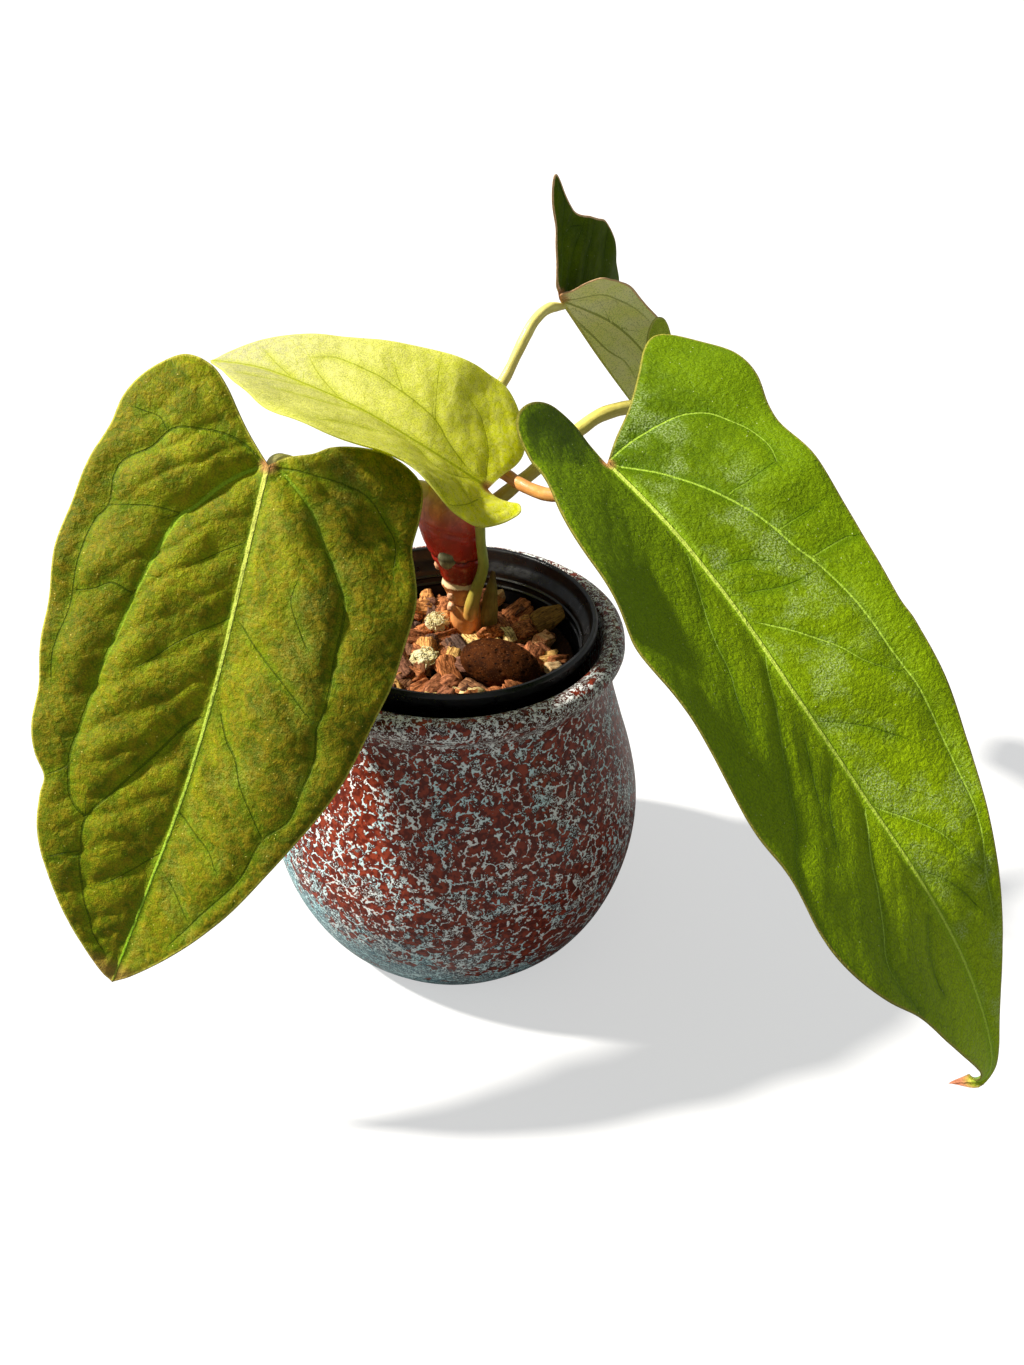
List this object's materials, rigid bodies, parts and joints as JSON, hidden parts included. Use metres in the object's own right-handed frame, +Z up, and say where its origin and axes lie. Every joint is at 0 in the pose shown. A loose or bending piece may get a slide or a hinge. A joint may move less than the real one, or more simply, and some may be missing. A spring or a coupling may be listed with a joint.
{
  "type": "potted anthurium",
  "caption": "Aroid house plant with large heart-shaped leaves on arching stalks, potted in bark mix in a black nursery pot that stands in a round-bellied glazed cachepot.",
  "frame": {"origin": "centre of the cachepot's flat base", "axes": "+Z up along the cachepot's axis, -Y towards the side that the two large leaves hang over"},
  "size_m": [0.3041, 0.2911, 0.2802],
  "materials": {
    "glaze": "glossy rust-red reactive glaze with pale turquoise webbing",
    "black_plastic": "satin moulded black",
    "stem_skin": "smooth red and orange skin with tan scars",
    "sheath_skin": "dry olive-brown papery skin",
    "bark_mix": "rough red-brown bark and coir blocks",
    "bark": "split olive-brown bark",
    "husk": "pale fibrous husk",
    "moss": "dry pale moss threads",
    "fired_clay": "pitted unglazed clay",
    "leaf_a_skin": "old bronze-green blade, puckered between its veins, satin",
    "petiole_a_skin": "smooth round stalk, satin",
    "leaf_b_skin": "mature mid-green blade, fine-grained and glossy, pale midrib",
    "petiole_b_skin": "smooth round stalk, satin",
    "leaf_c_skin": "young yellow-green blade, thin and translucent",
    "petiole_c_skin": "smooth round stalk, satin",
    "leaf_d_skin": "dark green above, pale green with raised veins below",
    "petiole_d_skin": "smooth round stalk, satin",
    "leaf_e_skin": "fresh green blade, satin",
    "petiole_e_skin": "smooth round stalk, satin"
  },
  "bodies": {
    "root": {"cachepot": "glaze", "nursery_pot": "black_plastic", "stem": "stem_skin", "cataphyll": "sheath_skin", "potting_mix": "bark_mix", "bark_plate": "bark", "husk_chip_pink": "husk", "husk_chip_tan": "husk", "husk_chip_rim": "husk", "moss_tuft_back": "moss", "moss_tuft_front": "moss", "clay_pebble": "fired_clay", "leaf_a": "leaf_a_skin", "petiole_a": "petiole_a_skin", "leaf_b": "leaf_b_skin", "petiole_b": "petiole_b_skin", "leaf_c": "leaf_c_skin", "petiole_c": "petiole_c_skin", "leaf_d": "leaf_d_skin", "petiole_d": "petiole_d_skin", "leaf_e": "leaf_e_skin", "petiole_e": "petiole_e_skin"}
  },
  "joints": []
}
